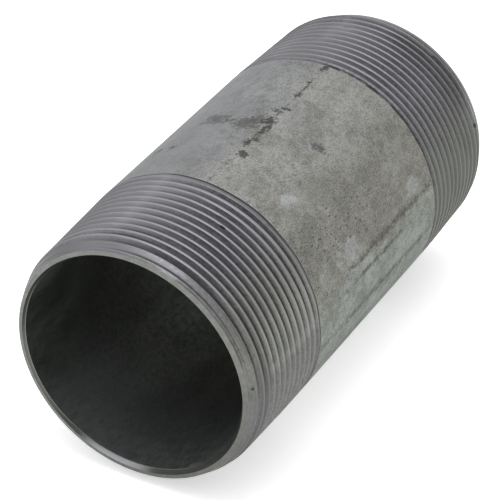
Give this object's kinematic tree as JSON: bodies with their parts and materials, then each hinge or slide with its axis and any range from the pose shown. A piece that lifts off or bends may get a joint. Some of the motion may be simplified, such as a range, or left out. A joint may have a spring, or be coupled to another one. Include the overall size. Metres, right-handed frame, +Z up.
{
  "type": "threaded pipe nipple",
  "caption": "Straight galvanized steel pipe nipple: a short open tube with a plain barrel and a tapered male pipe thread on each end.",
  "frame": {"origin": "on the surface the pipe lies on, straight below the middle of the pipe", "axes": "+Y along the pipe from its near end to its far end, +Z up, +X to the right seen from the near end"},
  "size_m": [0.0604, 0.1142, 0.0603],
  "materials": {
    "galvanized_steel": "dull mottled hot-dip zinc on the barrel, brighter cut steel on the threads and end faces"
  },
  "bodies": {
    "root": {"pipe_nipple": "galvanized_steel"}
  },
  "joints": []
}
